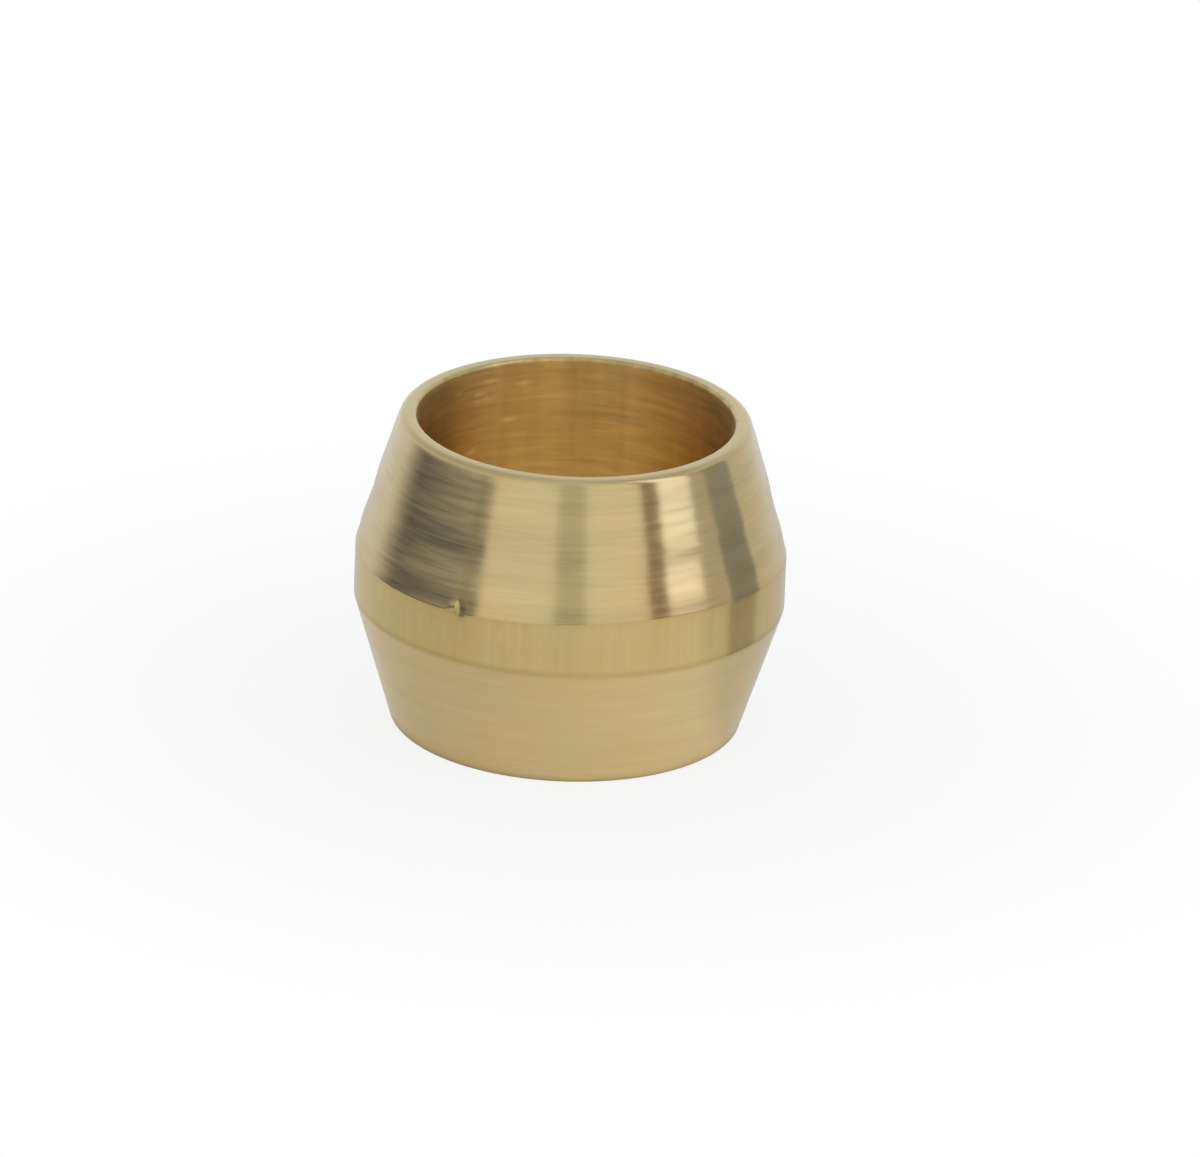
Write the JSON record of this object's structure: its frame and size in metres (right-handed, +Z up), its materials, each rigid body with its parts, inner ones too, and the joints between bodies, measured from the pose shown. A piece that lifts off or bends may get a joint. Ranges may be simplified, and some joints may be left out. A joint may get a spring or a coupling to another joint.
{
  "type": "compression olive",
  "caption": "Brass compression olive: a short plain-bored ring that tapers to both ends from a cylindrical belt, squeezed by a nut so that it grips and seals a tube.",
  "frame": {"origin": "centre of the lower end face, on the bore's axis, where the olive stands on its end", "axes": "+Z up along the bore's axis, from the shorter cone to the longer one; the ring is turned, so X and Y are free"},
  "size_m": [0.011, 0.011, 0.0082],
  "materials": {
    "brass": "satin, as turned"
  },
  "bodies": {
    "root": {"olive": "brass"}
  },
  "joints": []
}
